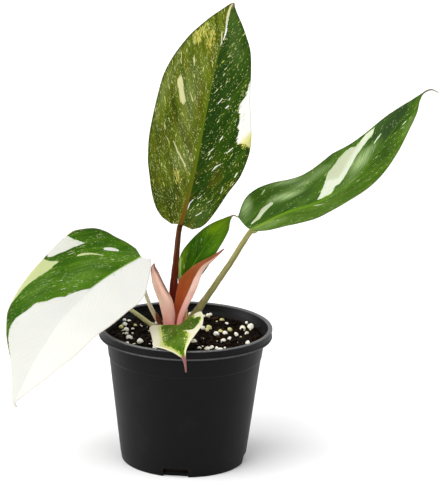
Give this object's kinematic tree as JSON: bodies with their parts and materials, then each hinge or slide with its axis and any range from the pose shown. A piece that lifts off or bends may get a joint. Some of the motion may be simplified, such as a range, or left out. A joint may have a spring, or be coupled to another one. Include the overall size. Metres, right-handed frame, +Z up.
{
  "type": "potted red anderson philodendron",
  "caption": "Young variegated philodendron with green, cream and white leaves and pink sheaths, in a round black nursery pot of dark potting mix.",
  "frame": {"origin": "centre of the underside of the pot, on the surface that it stands on", "axes": "+Z up, -Y towards the viewer of the picture, +X to the viewer's right, where the longest leaf reaches"},
  "size_m": [0.2605, 0.1161, 0.2842],
  "materials": {
    "pot": "satin black polypropylene",
    "soil": "moist dark peat and bark with white perlite",
    "stem": "short scarred stem",
    "petiole_red": "smooth dark maroon stalk",
    "petiole_olive": "smooth olive stalk",
    "petiole_cream": "smooth cream stalk",
    "leaf_upright": "satin green leaf with yellow-cream speckles and a white margin sector",
    "leaf_right": "satin deep green leaf with a white wedge",
    "leaf_left": "satin leaf, half green and half white",
    "leaf_middle": "satin fresh green speckled leaf",
    "leaf_front": "satin green leaf with broad cream margins",
    "sheath_pink": "waxy salmon pink sheath with small dark specks",
    "sheath_dry": "dry red-brown papery sheath"
  },
  "bodies": {
    "root": {"pot": "pot", "soil": "soil", "stem": "stem", "petiole_upright": "petiole_red", "petiole_middle": "petiole_red", "petiole_right": "petiole_olive", "old_petiole": "petiole_olive", "petiole_left": "petiole_cream", "petiole_front": "petiole_cream", "blade_upright": "leaf_upright", "blade_right": "leaf_right", "blade_left": "leaf_left", "blade_middle": "leaf_middle", "blade_front": "leaf_front", "cataphyll_left": "sheath_pink", "cataphyll_right": "sheath_pink", "dry_sheath": "sheath_dry"}
  },
  "joints": []
}
